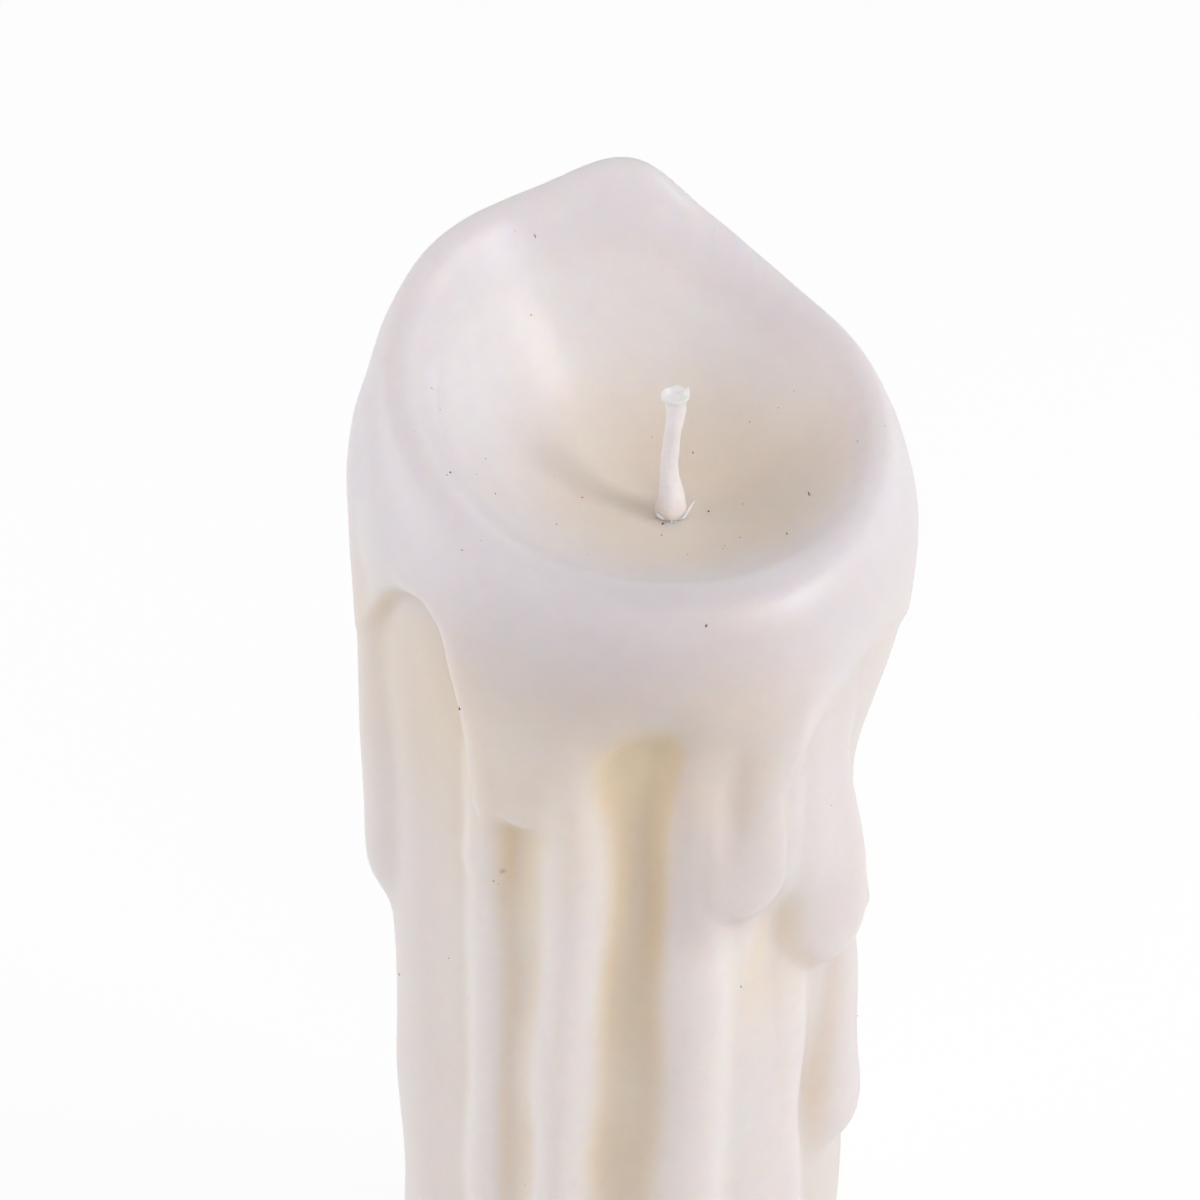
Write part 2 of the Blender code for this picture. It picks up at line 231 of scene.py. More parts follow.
# Slow unevenness of the whole surface
UNEVEN_WAVES = 28
UNEVEN_DEPTH = 0.12
UNEVEN_SHORTEST = 7.0
UNEVEN_LONGEST = 26.0

# Painted shade: how warm and dark the wax is painted where less light reaches it, in hollows, in the bowl
# and down the sides. A place is closed in when there is wax at these distances above it.
LOOK_UP = (1.5, 3.0, 5.0, 8.0)
WARM_CLOSED = 1.0
WARM_BOWL = 0.60            # painted shade of the bowl's floor
WARM_BOWL_CENTRE = (6.0, 0.5)
WARM_BOWL_REACH = (17.5, 15.0)
WARM_BOWL_ENDS = 1.4        # in reaches from the centre, and it is full one reach further in
WARM_APRON = 0.42           # painted shade of the apron below the rim
WARM_APRON_FROM = 128.0
WARM_APRON_FULL = 113.0
WARM_SIDE = 0.20            # painted shade of the runs below the apron
WARM_SIDE_FROM = 108.0
WARM_SIDE_FULL = 84.0
WARM_THIN = 0.55            # more, where the core is bare between the runs
WARM_THIN_BELOW = 2.4       # thickness of the wax on the core under which it counts as bare
WARM_LESS = 0.65            # and this share of it less round the sides and the back
WARM_LESS_CLOSED = 0.6      # share of that by which closed-in places are less warm there too
WARM_LESS_FROM = 22.0       # degrees
WARM_LESS_FULL = 44.0
WARM_RIGHT = 0.25           # share of the apron's painted warm shade that its right side has
WARM_RIGHT_FROM = 20.0      # degrees
WARM_RIGHT_FULL = 50.0

# Painted shade: how much the rim and its apron are painted darker and cooler than the rest, where less
# light falls on them, from 0 to 1.
RIM_SHADE = 0.45
RIM_SHADE_FRONT = 0.50           # more, at the front of it
RIM_SHADE_FRONT_AT = 4.0         # degrees
RIM_SHADE_FRONT_SPREAD = 26.0
CREST_DEPTH = 3.0           # from the outside to the middle of the crest
RIM_SHADE_INTO_BOWL = 4.0        # how far down into the bowl it fades away
RIM_SHADE_FROM = 104.0           # and the height over which it sets in
RIM_SHADE_FULL = 122.0
RIM_SHADE_LEFT = 0.4             # all the way down the left side
RIM_SHADE_LEFT_FROM = 46.0       # degrees
RIM_SHADE_LEFT_FULL = 60.0
RIM_SHADE_RIGHT = 0.3            # and down the right side
RIM_SHADE_RIGHT_FROM = 40.0
RIM_SHADE_RIGHT_FULL = 54.0
RIM_SHADE_LOBE = 0.5             # about the lobe that hangs from the apron
RIM_SHADE_LOBE_AT = 24.0         # degrees
RIM_SHADE_LOBE_WIDTH = 17.0      # to each side
RIM_SHADE_LOBE_END = 81.0
RIM_SHADE_LOBE_EDGE = 6.0        # over which it fades, in degrees and in millimetres

# The wick from its buried end up: height above the bowl's floor, sideways offset, and radius.
WICK_STATIONS = (
    (-WICK_SUNK, -0.30, 1.00),
    (0.0, -0.40, 1.66),
    (1.2, -0.45, 1.66),
    (2.2, -0.46, 1.45),
    (3.7, -0.50, 1.14),
    (4.9, -0.60, 0.98),
    (6.3, -0.75, 0.88),
    (8.3, -0.54, 0.88),
    (10.6, -0.28, 0.93),
    (12.4, -0.08, 1.00),
    (13.6, -0.05, 1.06),
    (14.05, -0.10, 1.20),
    (14.25, -0.14, 1.42),
    (14.50, -0.14, 1.45),
    (14.60, -0.10, 1.34),
    (14.48, -0.08, 1.10),
    (14.32, -0.08, 0.55),
    (14.30, -0.08, 0.02),
)
WICK_STEPS = 9              # rings between two stations
WICK_SIDES = 48
WICK_FOOT_TONE_HEIGHT = 3.2           # height up to which it turns darker and warmer towards its foot
WICK_TORN_FROM = 14.0       # height at which its torn end starts
WICK_TORN_WITHIN = 0.4      # and over which the tearing sets in
WICK_EVEN_BELOW = 0.9       # its unevenness stops this far below its torn end
# The ragged lips of the torn end: the angle, the spread and the height of each.
WICK_LIPS = ((105, 16, 0.75), (172, 34, 0.40), (-128, 20, 0.25))
WICK_LIP_FROM = 0.8         # distance from the axis at which they start
WICK_LIP_WIDTH = 0.5        # and over which they rise
BRAID_DEPTH = 0.03
BRAID_STRANDS = 4
BRAID_PITCH = 3.4
WICK_LUMP = 0.04            # unevenness, and its size
WICK_LUMP_SIZE = 1.3
WICK_LUMP_SECOND = 1.7      # how much finer the second set of lumps is

# Strands of wax left round the wick's foot: for each point the angle round the foot, the distance
# from its middle, the height above the bowl's floor, and the strand's radius.
STRANDS = (
    ((-66, 1.72, 0.85, 0.05), (-50, 1.82, 0.75, 0.20), (-36, 1.84, 0.62, 0.16), (-24, 1.78, 0.50, 0.05)),
    ((22, 1.74, 0.45, 0.05), (44, 1.82, 0.62, 0.20), (62, 1.80, 0.85, 0.15), (80, 1.95, 1.20, 0.17),
     (86, 2.15, 1.45, 0.09), (92, 2.40, 1.65, 0.03)),
)
STRAND_FOOT = 0.4           # how far left of the wick's axis the middle of its foot is
STRAND_STEPS = 6            # rings for each point
STRAND_SIDES = 10

# Crumbs of wax in the bowl: the place over the plan, and the radius.
CRUMBS = (
    (1.9, -1.5, 0.15),
    (3.5, -1.35, 0.17),
    (4.0, -1.75, 0.12),
    (4.5, -1.85, 0.22),
    (4.9, -1.80, 0.17),
    (2.9, -0.9, 0.14),
    (-1.2, -5.4, 0.15),
    (-2.1, 0.4, 0.11),
    (7.6, -3.9, 0.10),
    (-5.5, -6.1, 0.10),
    (10.2, 1.6, 0.09),
)
CRUMB_STRETCH = 1.3

# Dark specks in the bowl, placed one by one: the place over the plan, the radius and the stretch.
BOWL_SPECKS = (
    (3.6, -2.0, 0.19, 1.3),
    (0.6, -3.1, 0.15, 1.0),
    (-4.9, 0.9, 0.15, 1.2),
    (-9.3, -3.0, 0.11, 1.0),
    (6.9, 8.7, 0.07, 5.0),
    (8.4, 0.5, 0.12, 1.1),
    (3.4, -4.3, 0.09, 2.6),
)
# And on the sides: the angle, the height, the radius and the stretch.
SIDE_SPECKS = (
    (-32.4, 89.4, 0.08, 1.0),
    (-31.6, 89.0, 0.06, 1.0),
    (-36.5, 112.0, 0.16, 1.2),
    (16.0, 124.0, 0.13, 1.4),
    (-57.0, 133.0, 0.12, 1.0),
    (27.5, 76.0, 0.10, 1.5),
)
# Fine specks scattered at random, half of them from above and half on the sides.
LOOSE_SPECKS = 170
SPECK_RADIUS = 0.035        # the middle of their range
SPECK_SPREAD = 0.55         # of the logarithm of their radius
SPECK_STRETCHES = (1.0, 1.4, 4.0)
SPECK_BEYOND = 3.0          # how far past the core those from above are scattered
SPECK_HEIGHTS = (4, 118)    # of those on the sides

# A brown smear on the outside: its angle and height.
SMEAR = (-30.4, 90.8)
SMEAR_REACH = 0.5           # how far from there it fades away, with a ragged edge
SMEAR_DEPTH = 0.6           # how much of the wax's own colour it hides in its middle


def smooth_step(t):
    """From 0 to 1 as t goes from 0 to 1, level at both ends."""
    t = np.clip(t, 0, 1)
    return t * t * (3 - 2 * t)


def blend_in(a, b, width):
    """The smaller of two fields, with a fillet of about that width where they meet."""
    near = np.maximum(width - np.abs(a - b), 0)
    return np.minimum(a, b) - near * near / (4 * width)


def blend_out(a, b, width):
    """The larger of two fields, with a rounded edge of about that width."""
    return -blend_in(-a, -b, width)


def turn(angle):
    """An angle brought to within half a turn of zero."""
    return (angle + math.pi) % (2 * math.pi) - math.pi


def around(knots, value, angle, waves=None, steps=720):
    """A smooth closed curve through the knots' named value, or only its longest waves."""
    knots = sorted(knots, key=lambda knot: knot.angle)
    at = np.array([knot.angle for knot in knots], float)
    values = np.array([getattr(knot, value) for knot in knots], float)
    at = np.concatenate([at[-2:] - 360, at, at[:2] + 360])
    values = np.concatenate([values[-2:], values, values[:2]])
    slope = np.gradient(values, at)
    table = np.linspace(-180, 180, steps + 1)
    left = np.searchsorted(at, table, side="right") - 1
    span = at[left + 1] - at[left]
    t = (table - at[left]) / span
    curve = (
        values[left] * (1 + 2 * t) * (1 - t) ** 2
        + slope[left] * span * t * (1 - t) ** 2
        + values[left + 1] * t**2 * (3 - 2 * t)
        + slope[left + 1] * span * t**2 * (t - 1)
    )
    if waves is not None:
        spectrum = np.fft.rfft(curve[:-1])
        spectrum[waves + 1:] = 0
        curve[:-1] = np.fft.irfft(spectrum, steps)
        curve[-1] = curve[0]
    return np.interp(np.degrees(angle), table, curve)


def run_field(run, angle, out, z):
    """One frozen run, with a rounded section, a rounded foot and a faded top."""
    fall = np.clip((run.top - z) / (run.top - run.end), 0, 1)
    wander = RUN_WANDER * np.sin(z / RUN_WANDER_PITCH + run.angle)
    centre = np.radians(run.angle + (run.end_angle - run.angle) * fall + wander)
    across = turn(angle - centre) * RUN_RADIUS
    foot = run.end + run.width
    swell = run.taper + (1 - run.taper) * fall + RUN_WAVE * np.sin(z / RUN_WAVE_PITCH - run.angle)
    swell = swell + run.bulb * np.exp(-(((z - foot) / (RUN_BULB_TALL * run.width)) ** 2))
    beyond = np.maximum(foot - z, 0) + np.maximum(z - run.top, 0) / RUN_TOP_FADE
    away = np.hypot(across / (run.width * swell), beyond / run.width)
    # It starts below the surface, so that far away it changes nothing.
    return out + RUN_BLEND - (run.thickness * swell + RUN_BLEND) * 0.5 ** (away**run.fullness)


def run_is_near(run, angle, out, z):
    """Where a run can change the surface."""
    middle = math.radians((run.angle + run.end_angle) / 2)
    reach = RUN_REACH * run.width + RUN_BLEND
    lean = math.radians(abs(run.end_angle - run.angle) / 2 + RUN_WANDER) * RUN_RADIUS
    near = np.abs(turn(angle - middle)) * RUN_RADIUS < reach + lean
    near &= (z > run.end - reach) & (z < run.top + RUN_TOP_FADE * reach)
    return near & (out > -2 * RUN_BLEND)


def flare_at(angle, z):
    """How much wider the pillar is than its core, up to the underside of the rim."""
    return around(RIM, "flare", angle) * smooth_step((z - FLARE_FROM) / (FLARE_TO - FLARE_FROM))


def outer_field(x, y, z):
    """The pillar, the apron of wax that hangs from the rim, the runs below it and the dents."""
    angle = np.arctan2(x, -y)
    crest = around(RIM, "crest", angle)
    lean = RIM_LEAN * smooth_step((z - crest + RIM_LEAN_FROM) / RIM_LEAN_FROM)
    above = np.hypot(x, y) - CORE_RADIUS + lean
    edge = around(APRON, "edge", angle)
    thin = around(APRON, "thickness", angle)
    thick = around(RIM, "thickness", angle)
    shoulder = crest - APRON_SHOULDER
    depth = thin + (thick - thin) * smooth_step((z - edge) / (shoulder - edge))
    beyond = np.maximum(edge + APRON_CAP - z, 0) / APRON_CAP
    apron = (np.sqrt((np.maximum(above, 0) / depth) ** 2 + beyond**2) - 1) * depth
    field = blend_in(above - flare_at(angle, z), apron, RUN_BLEND)
    for run in RUNS:
        near = run_is_near(run, angle, above, z)
        ridge = run_field(run, angle[near], above[near], z[near])
        field[near] = blend_in(field[near], ridge, RUN_BLEND)
    for dent in DENTS:
        across = turn(angle - math.radians(dent.angle)) * RUN_RADIUS
        reach = (across / dent.width) ** 2 + ((z - dent.height) / dent.tall) ** 2
        field = field + dent.depth * np.exp(-reach)
    return field


def bowl_height(x, y):
    """The height of the burnt-out bowl over the plan, and the rounding of its lip."""
    cx, cy = BOWL_CENTRE
    dx = x - cx
    dy = y - cy
    far = np.maximum(np.hypot(dx, dy), 1e-6)
    along = (cx * dx + cy * dy) / far
    reach = -along + np.sqrt(along**2 + BOWL_CREST_RADIUS**2 - cx * cx - cy * cy)
    angle = np.arctan2(cx + dx / far * reach, -(cy + dy / far * reach))
    share = far / reach
    near_rim = smooth_step((share - BOWL_EVEN_TO) / (1 - BOWL_EVEN_TO))
    crest = around(RIM, "crest", angle) * near_rim + around(RIM, "crest", angle, 2) * (1 - near_rim)
    climb = share / (1 - around(RIM, "shelf", angle))
    rise = blend_in(climb**BOWL_POWER, 1 + BOWL_SHELF_SLOPE * (climb - 1), BOWL_SHELF_BLEND)
    meniscus = MENISCUS_HEIGHT * np.exp(-((far / MENISCUS_SPREAD) ** 2))
    return BOWL_FLOOR + (crest - BOWL_FLOOR) * rise + meniscus, around(RIM, "rounding", angle)


def wax_field(x, y, z):
    """Negative inside the wax, and in millimetres near its surface."""
    height, rounding = bowl_height(x, y)
    top = (z - height) * BOWL_SLANT
    field = blend_out(outer_field(x, y, z), top, rounding)
    return blend_out(field, -z, BASE_ROUNDING)


def unevenness(points):
    """A slow random swelling of the surface: waves in many directions, added up."""
    draw = np.random.default_rng(SEED)
    total = np.zeros(len(points))
    for _ in range(UNEVEN_WAVES):
        direction = draw.normal(size=3)
        direction /= np.linalg.norm(direction)
        length = draw.uniform(UNEVEN_SHORTEST, UNEVEN_LONGEST)
        phase = draw.uniform(0, 2 * math.pi)
        total += np.sin(points @ direction * (2 * math.pi / length) + phase) * length
    return total * UNEVEN_DEPTH / (UNEVEN_LONGEST * math.sqrt(UNEVEN_WAVES / 2))


def surface_net(field, axes):
    """A closed quad mesh of the field's zero surface: one point in each grid cell that it crosses."""
    values = field(*np.meshgrid(*axes, indexing="ij"))
    cells = tuple(size - 1 for size in values.shape)
    point_sum = np.zeros(cells + (3,))
    crossings = np.zeros(cells)
    rings = []
    for a in range(3):
        low = [slice(None)] * 3
        high = [slice(None)] * 3
        low[a] = slice(0, -1)
        high[a] = slice(1, None)
        start = values[tuple(low)]
        end = values[tuple(high)]
        crossed = (start < 0) != (end < 0)
        place = np.argwhere(crossed)
        share = start[crossed] / (start[crossed] - end[crossed])
        point = np.stack([axis[place[:, i]] for i, axis in enumerate(axes)], axis=1)
        point[:, a] += share * np.diff(axes[a])[place[:, a]]
        ring = []
        for back_b, back_c in ((0, 0), (1, 0), (1, 1), (0, 1)):
            cell = place.copy()
            cell[:, (a + 1) % 3] -= back_b
            cell[:, (a + 2) % 3] -= back_c
            np.add.at(point_sum, tuple(cell.T), point)
            np.add.at(crossings, tuple(cell.T), 1)
            ring.append(cell)
        rings.append((ring, start[crossed] < 0))
    used = crossings > 0
    number = np.full(cells, -1)
    number[used] = np.arange(used.sum())
    points = point_sum[used] / crossings[used][:, None]
    faces = []
    for ring, leaving in rings:
        quads = np.stack([number[tuple(cell.T)] for cell in ring], axis=1)
        quads[~leaving] = quads[~leaving][:, ::-1]
        faces.append(quads)
    return points, np.concatenate(faces)


def slope_of(field, points, step=0.1):
    """The field's gradient at each point, by differences."""
    slope = np.empty_like(points)
    for a in range(3):
        ahead = points.copy()
        behind = points.copy()
        ahead[:, a] += step
        behind[:, a] -= step
        slope[:, a] = (field(*ahead.T) - field(*behind.T)) / (2 * step)
    return slope


def settled(points, rounds=2, furthest=0.3):
    """The points moved onto the wax's surface with its slow unevenness."""
    for _ in range(rounds):
        slope = slope_of(wax_field, points)
        steep = np.linalg.norm(slope, axis=1)
        swelling = unevenness(points) * smooth_step(points[:, 2] / BASE_EVEN_TO)
        move = np.clip(wax_field(*points.T) / steep - swelling, -furthest, furthest)
        points = points - slope / steep[:, None] * move[:, None]
    return points


def warm_shade_of(points):
    """The painted warm shade at each point: 0 on open surfaces, and towards 1 where it is closed in."""
    slope = slope_of(wax_field, points)
    steep = np.linalg.norm(slope, axis=1)
    normal = slope / steep[:, None]
    closed = np.zeros(len(points))
    for reach in LOOK_UP:
        free = wax_field(*(points + normal * reach).T) / (reach * steep)
        closed += np.clip(1 - free, 0, 1) / len(LOOK_UP)
    x, y, z = points.T
    angle = np.arctan2(x, -y)
    in_bowl = outer_field(x, y, z) < -CREST_DEPTH
    aside = (x - WARM_BOWL_CENTRE[0]) / WARM_BOWL_REACH[0]
    behind = (y - WARM_BOWL_CENTRE[1]) / WARM_BOWL_REACH[1]
    bowl = in_bowl * smooth_step(WARM_BOWL_ENDS - np.hypot(aside, behind))
    apron = smooth_step((WARM_APRON_FROM - z) / (WARM_APRON_FROM - WARM_APRON_FULL))
    low = smooth_step((WARM_SIDE_FROM - z) / (WARM_SIDE_FROM - WARM_SIDE_FULL))
    degrees = np.degrees(angle)
    right = smooth_step((degrees - WARM_RIGHT_FROM) / (WARM_RIGHT_FULL - WARM_RIGHT_FROM))
    on_apron = WARM_APRON * (1 - (1 - WARM_RIGHT) * right)
    side = on_apron * apron + (WARM_SIDE - on_apron) * low
    thickness = np.hypot(x, y) - CORE_RADIUS - flare_at(angle, z)
    round_side = (np.abs(degrees) - WARM_LESS_FROM) / (WARM_LESS_FULL - WARM_LESS_FROM)
    less = WARM_LESS * smooth_step(round_side)
    thin = smooth_step(1 - thickness / WARM_THIN_BELOW) * (1 - less)
    outside = WARM_CLOSED * closed * (1 - WARM_LESS_CLOSED * less) + side + WARM_THIN * thin * apron
    warm = np.where(in_bowl, WARM_CLOSED * closed + WARM_BOWL * bowl, outside)
    return np.clip(warm, 0, 1)


def rim_shade_of(points):
    """How much painted shade, darker and cooler, the rim and its apron have at each point."""
    x, y, z = points.T
    angle = np.arctan2(x, -y)
    depth = -outer_field(x, y, z)
    inward = smooth_step((depth - CREST_DEPTH) / RIM_SHADE_INTO_BOWL)
    down = smooth_step((z - RIM_SHADE_FROM) / (RIM_SHADE_FULL - RIM_SHADE_FROM))
    degrees = np.degrees(angle)
    left = RIM_SHADE_LEFT * smooth_step((-degrees - RIM_SHADE_LEFT_FROM) / (RIM_SHADE_LEFT_FULL - RIM_SHADE_LEFT_FROM))
    from_front = turn(angle - math.radians(RIM_SHADE_FRONT_AT))
    front = np.exp(-((from_front / math.radians(RIM_SHADE_FRONT_SPREAD)) ** 2))
    right = RIM_SHADE_RIGHT * smooth_step((degrees - RIM_SHADE_RIGHT_FROM) / (RIM_SHADE_RIGHT_FULL - RIM_SHADE_RIGHT_FROM))
    rim_shade = np.maximum((RIM_SHADE + RIM_SHADE_FRONT * front) * down, left + right) * (1 - inward)
    across = np.abs(np.degrees(turn(angle - math.radians(RIM_SHADE_LOBE_AT))))
    lobe = smooth_step((RIM_SHADE_LOBE_WIDTH - across) / RIM_SHADE_LOBE_EDGE)
    lobe = lobe * smooth_step((z - RIM_SHADE_LOBE_END) / RIM_SHADE_LOBE_EDGE)
    return np.maximum(rim_shade, RIM_SHADE_LOBE * lobe * (1 - inward))


def mesh_object(name, points, faces, made_of):
    """A smooth piece that rides on the body, from points in millimetres."""
    mesh = bpy.data.meshes.new(name)
    mesh.from_pydata((np.asarray(points) * MM).tolist(), [], faces)
    mesh.shade_smooth()
    mesh.materials.append(made_of)
    made = bpy.data.objects.new(name, mesh)
    bpy.context.scene.collection.objects.link(made)
    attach(made, "root")
    return made


def put(tree, kind, inputs=(), **settings):
    """A node with its settings, and its inputs set to values or linked from other nodes' outputs."""
    node = tree.nodes.new(kind)
    for name, value in settings.items():
        setattr(node, name, value)
    for name, value in dict(inputs).items():
        if isinstance(value, bpy.types.NodeSocket):
            tree.links.new(value, node.inputs[name])
        else:
            node.inputs[name].default_value = value
    return node


def maths(tree, operation, *values, clamp=False):
    """The output of a node that does one sum."""
    return put(tree, "ShaderNodeMath", dict(enumerate(values)), operation=operation,
               use_clamp=clamp).outputs[0]


def blended(tree, share, first, second, how="MIX"):
    """The output of a node that blends two colours."""
    node = put(tree, "ShaderNodeMix", data_type="RGBA", blend_type=how)
    for socket, value in zip((node.inputs[0], node.inputs[6], node.inputs[7]), (share, first, second)):
        if isinstance(value, bpy.types.NodeSocket):
            tree.links.new(value, socket)
        else:
            socket.default_value = value
    return node.outputs[2]


def material(name):
    """A new material, its node tree, its shader and its coordinates in millimetres."""
    made = bpy.data.materials.new(name)
    made.use_nodes = True
    tree = made.node_tree
    place = put(tree, "ShaderNodeTexCoord").outputs["Object"]
    scaled = put(tree, "ShaderNodeVectorMath", {0: place, "Scale": 1 / MM}, operation="SCALE")
    return made, tree, tree.nodes["Principled BSDF"], scaled.outputs[0]


def noise_of(tree, place, size, detail=2.0, rough=0.5):
    """Noise from 0 to 1 with features of about that size, in millimetres."""
    return put(
        tree, "ShaderNodeTexNoise",
        {"Vector": place, "Scale": 1 / size, "Detail": detail, "Roughness": rough},
    ).outputs["Fac"]


def toned(tree, colour, pattern, change, lowest):
    """A colour made darker and lighter by a pattern."""
    tone = maths(tree, "MULTIPLY_ADD", pattern, change, lowest)
    grey = put(tree, "ShaderNodeCombineColor", {0: tone, 1: tone, 2: tone}).outputs[0]
    return blended(tree, 1.0, colour, grey, "MULTIPLY")


def roughened(tree, shader, pattern, change, smoothest):
    """Gloss that varies with a pattern."""
    rough = maths(tree, "MULTIPLY_ADD", pattern, change, smoothest)
    tree.links.new(rough, shader.inputs["Roughness"])


def bumped(tree, shader, pattern, distance):
    """A fine relief from a pattern, with its depth in metres."""
    bump = put(tree, "ShaderNodeBump", {"Height": pattern, "Strength": 1.0, "Distance": distance})
    tree.links.new(bump.outputs[0], shader.inputs["Normal"])


def let_light_in(shader, spread, distance):
    """Light goes in and spreads, by a share for red, green and blue of a distance in metres."""
    shader.inputs["Subsurface Weight"].default_value = 1.0
    shader.inputs["Subsurface Radius"].default_value = spread
    shader.inputs["Subsurface Scale"].default_value = distance


def smeared(tree, colour, place, edge):
    """The wax's colour with the brown smear over it, made ragged by a pattern."""
    middle = Vector(on_side([SMEAR])[0])
    away = put(tree, "ShaderNodeVectorMath", {0: place, 1: middle}, operation="DISTANCE").outputs["Value"]
    away = maths(tree, "MULTIPLY_ADD", edge, SMEAR_REACH, away)
    smear = maths(tree, "MULTIPLY_ADD", away, -1 / SMEAR_REACH, 1 + NOISE_MIDDLE, clamp=True)
    return blended(tree, maths(tree, "MULTIPLY", smear, SMEAR_DEPTH), colour, SMEAR_BROWN)


def wax_material():
    """Paraffin wax: light goes in and spreads, it has painted warm shade in the hollows and painted darker,
    cooler shade on the rim, and it has a fine grain.
    """
    made, tree, shader, place = material("wax_look")
    # Painted shade: a warm, darker colour where the wax is closed in and in the bowl.
    warm_shade = put(tree, "ShaderNodeAttribute", attribute_name="warm_shade").outputs["Fac"]
    broad = noise_of(tree, place, 16)
    mottle = noise_of(tree, place, 2.2, 3)
    grain = noise_of(tree, place, 0.36, 2, 0.6)
    wander = maths(tree, "MULTIPLY_ADD", broad, 0.16, -0.08)
    colour = blended(tree, maths(tree, "ADD", warm_shade, wander, clamp=True), WAX_OPEN, WAX_WARM_SHADE)
    # Painted shade: the rim and its apron darker and cooler.
    rim_shade = put(tree, "ShaderNodeAttribute", attribute_name="rim_shade").outputs["Fac"]
    colour = blended(tree, rim_shade, colour, blended(tree, 1.0, colour, RIM_SHADE_TINT, "MULTIPLY"))
    colour = smeared(tree, toned(tree, colour, mottle, 0.06, 0.97), place, grain)
    tree.links.new(colour, shader.inputs["Base Color"])
    roughened(tree, shader, mottle, 0.14, 0.27)
    bumped(tree, shader, maths(tree, "MULTIPLY_ADD", mottle, 3.0, grain), 0.000012)
    let_light_in(shader, (1.0, 0.72, 0.5), 0.0035)
    shader.inputs["IOR"].default_value = WAX_IOR
    return made


def crumb_material():
    """Chips of the same wax, too thin to look warm."""
    made, tree, shader, place = material("crumb_look")
    mottle = noise_of(tree, place, 0.5, 2)
    colour = blended(tree, mottle, CRUMB_LIGHT, CRUMB_DARK)
    tree.links.new(colour, shader.inputs["Base Color"])
    roughened(tree, shader, mottle, 0.2, 0.25)
    bumped(tree, shader, mottle, 0.00003)
    let_light_in(shader, (1.0, 0.8, 0.6), 0.0006)
    return made


def wick_material():
    """A cotton braid soaked in wax."""
    made, tree, shader, place = material("wick_look")
    fibre = noise_of(tree, place, 0.25, 3, 0.6)
    soak = noise_of(tree, place, 2.5, 2)
    colour = blended(tree, soak, WICK_LIGHT, WICK_DARK)
    height = put(tree, "ShaderNodeSeparateXYZ", {0: place}).outputs["Z"]
    foot = maths(tree, "MULTIPLY_ADD", height, -1 / WICK_FOOT_TONE_HEIGHT, BOWL_FLOOR / WICK_FOOT_TONE_HEIGHT + 1, clamp=True)
    colour = blended(tree, foot, colour, WICK_FOOT_COLOUR)
    tree.links.new(toned(tree, colour, fibre, 0.18, 0.91), shader.inputs["Base Color"])
    roughened(tree, shader, fibre, 0.3, 0.4)
    bumped(tree, shader, fibre, 0.00004)
    let_light_in(shader, (1.0, 0.8, 0.65), 0.0012)
    return made


def dirt_material():
    """Soot and dust: nearly black to brown, and matt."""
    made, tree, shader, place = material("dirt_look")
    shade = noise_of(tree, place, 3.0, 2)
    tree.links.new(blended(tree, shade, DIRT_DARK, DIRT_BROWN), shader.inputs["Base Color"])
    roughened(tree, shader, shade, 0.2, 0.7)
    return made


def wax_body():
    """The wax, whose points carry how much painted warm shade and how much painted shade of the rim they
    have.
    """
    across = np.arange(-REACH, REACH + CELL, CELL)
    up = np.concatenate([np.arange(-2 * LOW_CELL, LOW_TO, LOW_CELL), np.arange(LOW_TO, TOP, CELL)])
    points, faces = surface_net(wax_field, (across, across, up))
    points = settled(points)
    made = mesh_object("wax", points, faces.tolist(), wax_material())
    for name, values in (("warm_shade", warm_shade_of(points)), ("rim_shade", rim_shade_of(points))):
        carried = made.data.attributes.new(name, "FLOAT", "POINT")
        carried.data.foreach_set("value", values.astype(np.float32))
    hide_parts("wax_body")


def ring_faces(rings, sides):
    """Quads between rings of points, and a face across each end."""
    faces = [tuple(range(sides))[::-1], tuple(range((rings - 1) * sides, rings * sides))]
    for ring in range(rings - 1):
        for i in range(sides):
            low = ring * sides + i
            next_low = ring * sides + (i + 1) % sides
            faces.append((low, next_low, next_low + sides, low + sides))
    return faces


def tube(centres, radii):
    """The points and faces of a closed tube round a path."""
    along = np.gradient(centres, axis=0)
    along /= np.linalg.norm(along, axis=1)[:, None]
    aside = np.cross(along, (0.0, 1.0, 0.01))
    aside /= np.linalg.norm(aside, axis=1)[:, None]
    over = np.cross(along, aside)
    rings, sides = radii.shape
    a = np.linspace(0, 2 * math.pi, sides, endpoint=False)[None, :, None]
    points = centres[:, None] + radii[:, :, None] * (aside[:, None] * np.cos(a) - over[:, None] * np.sin(a))
    return points.reshape(-1, 3), ring_faces(rings, sides)


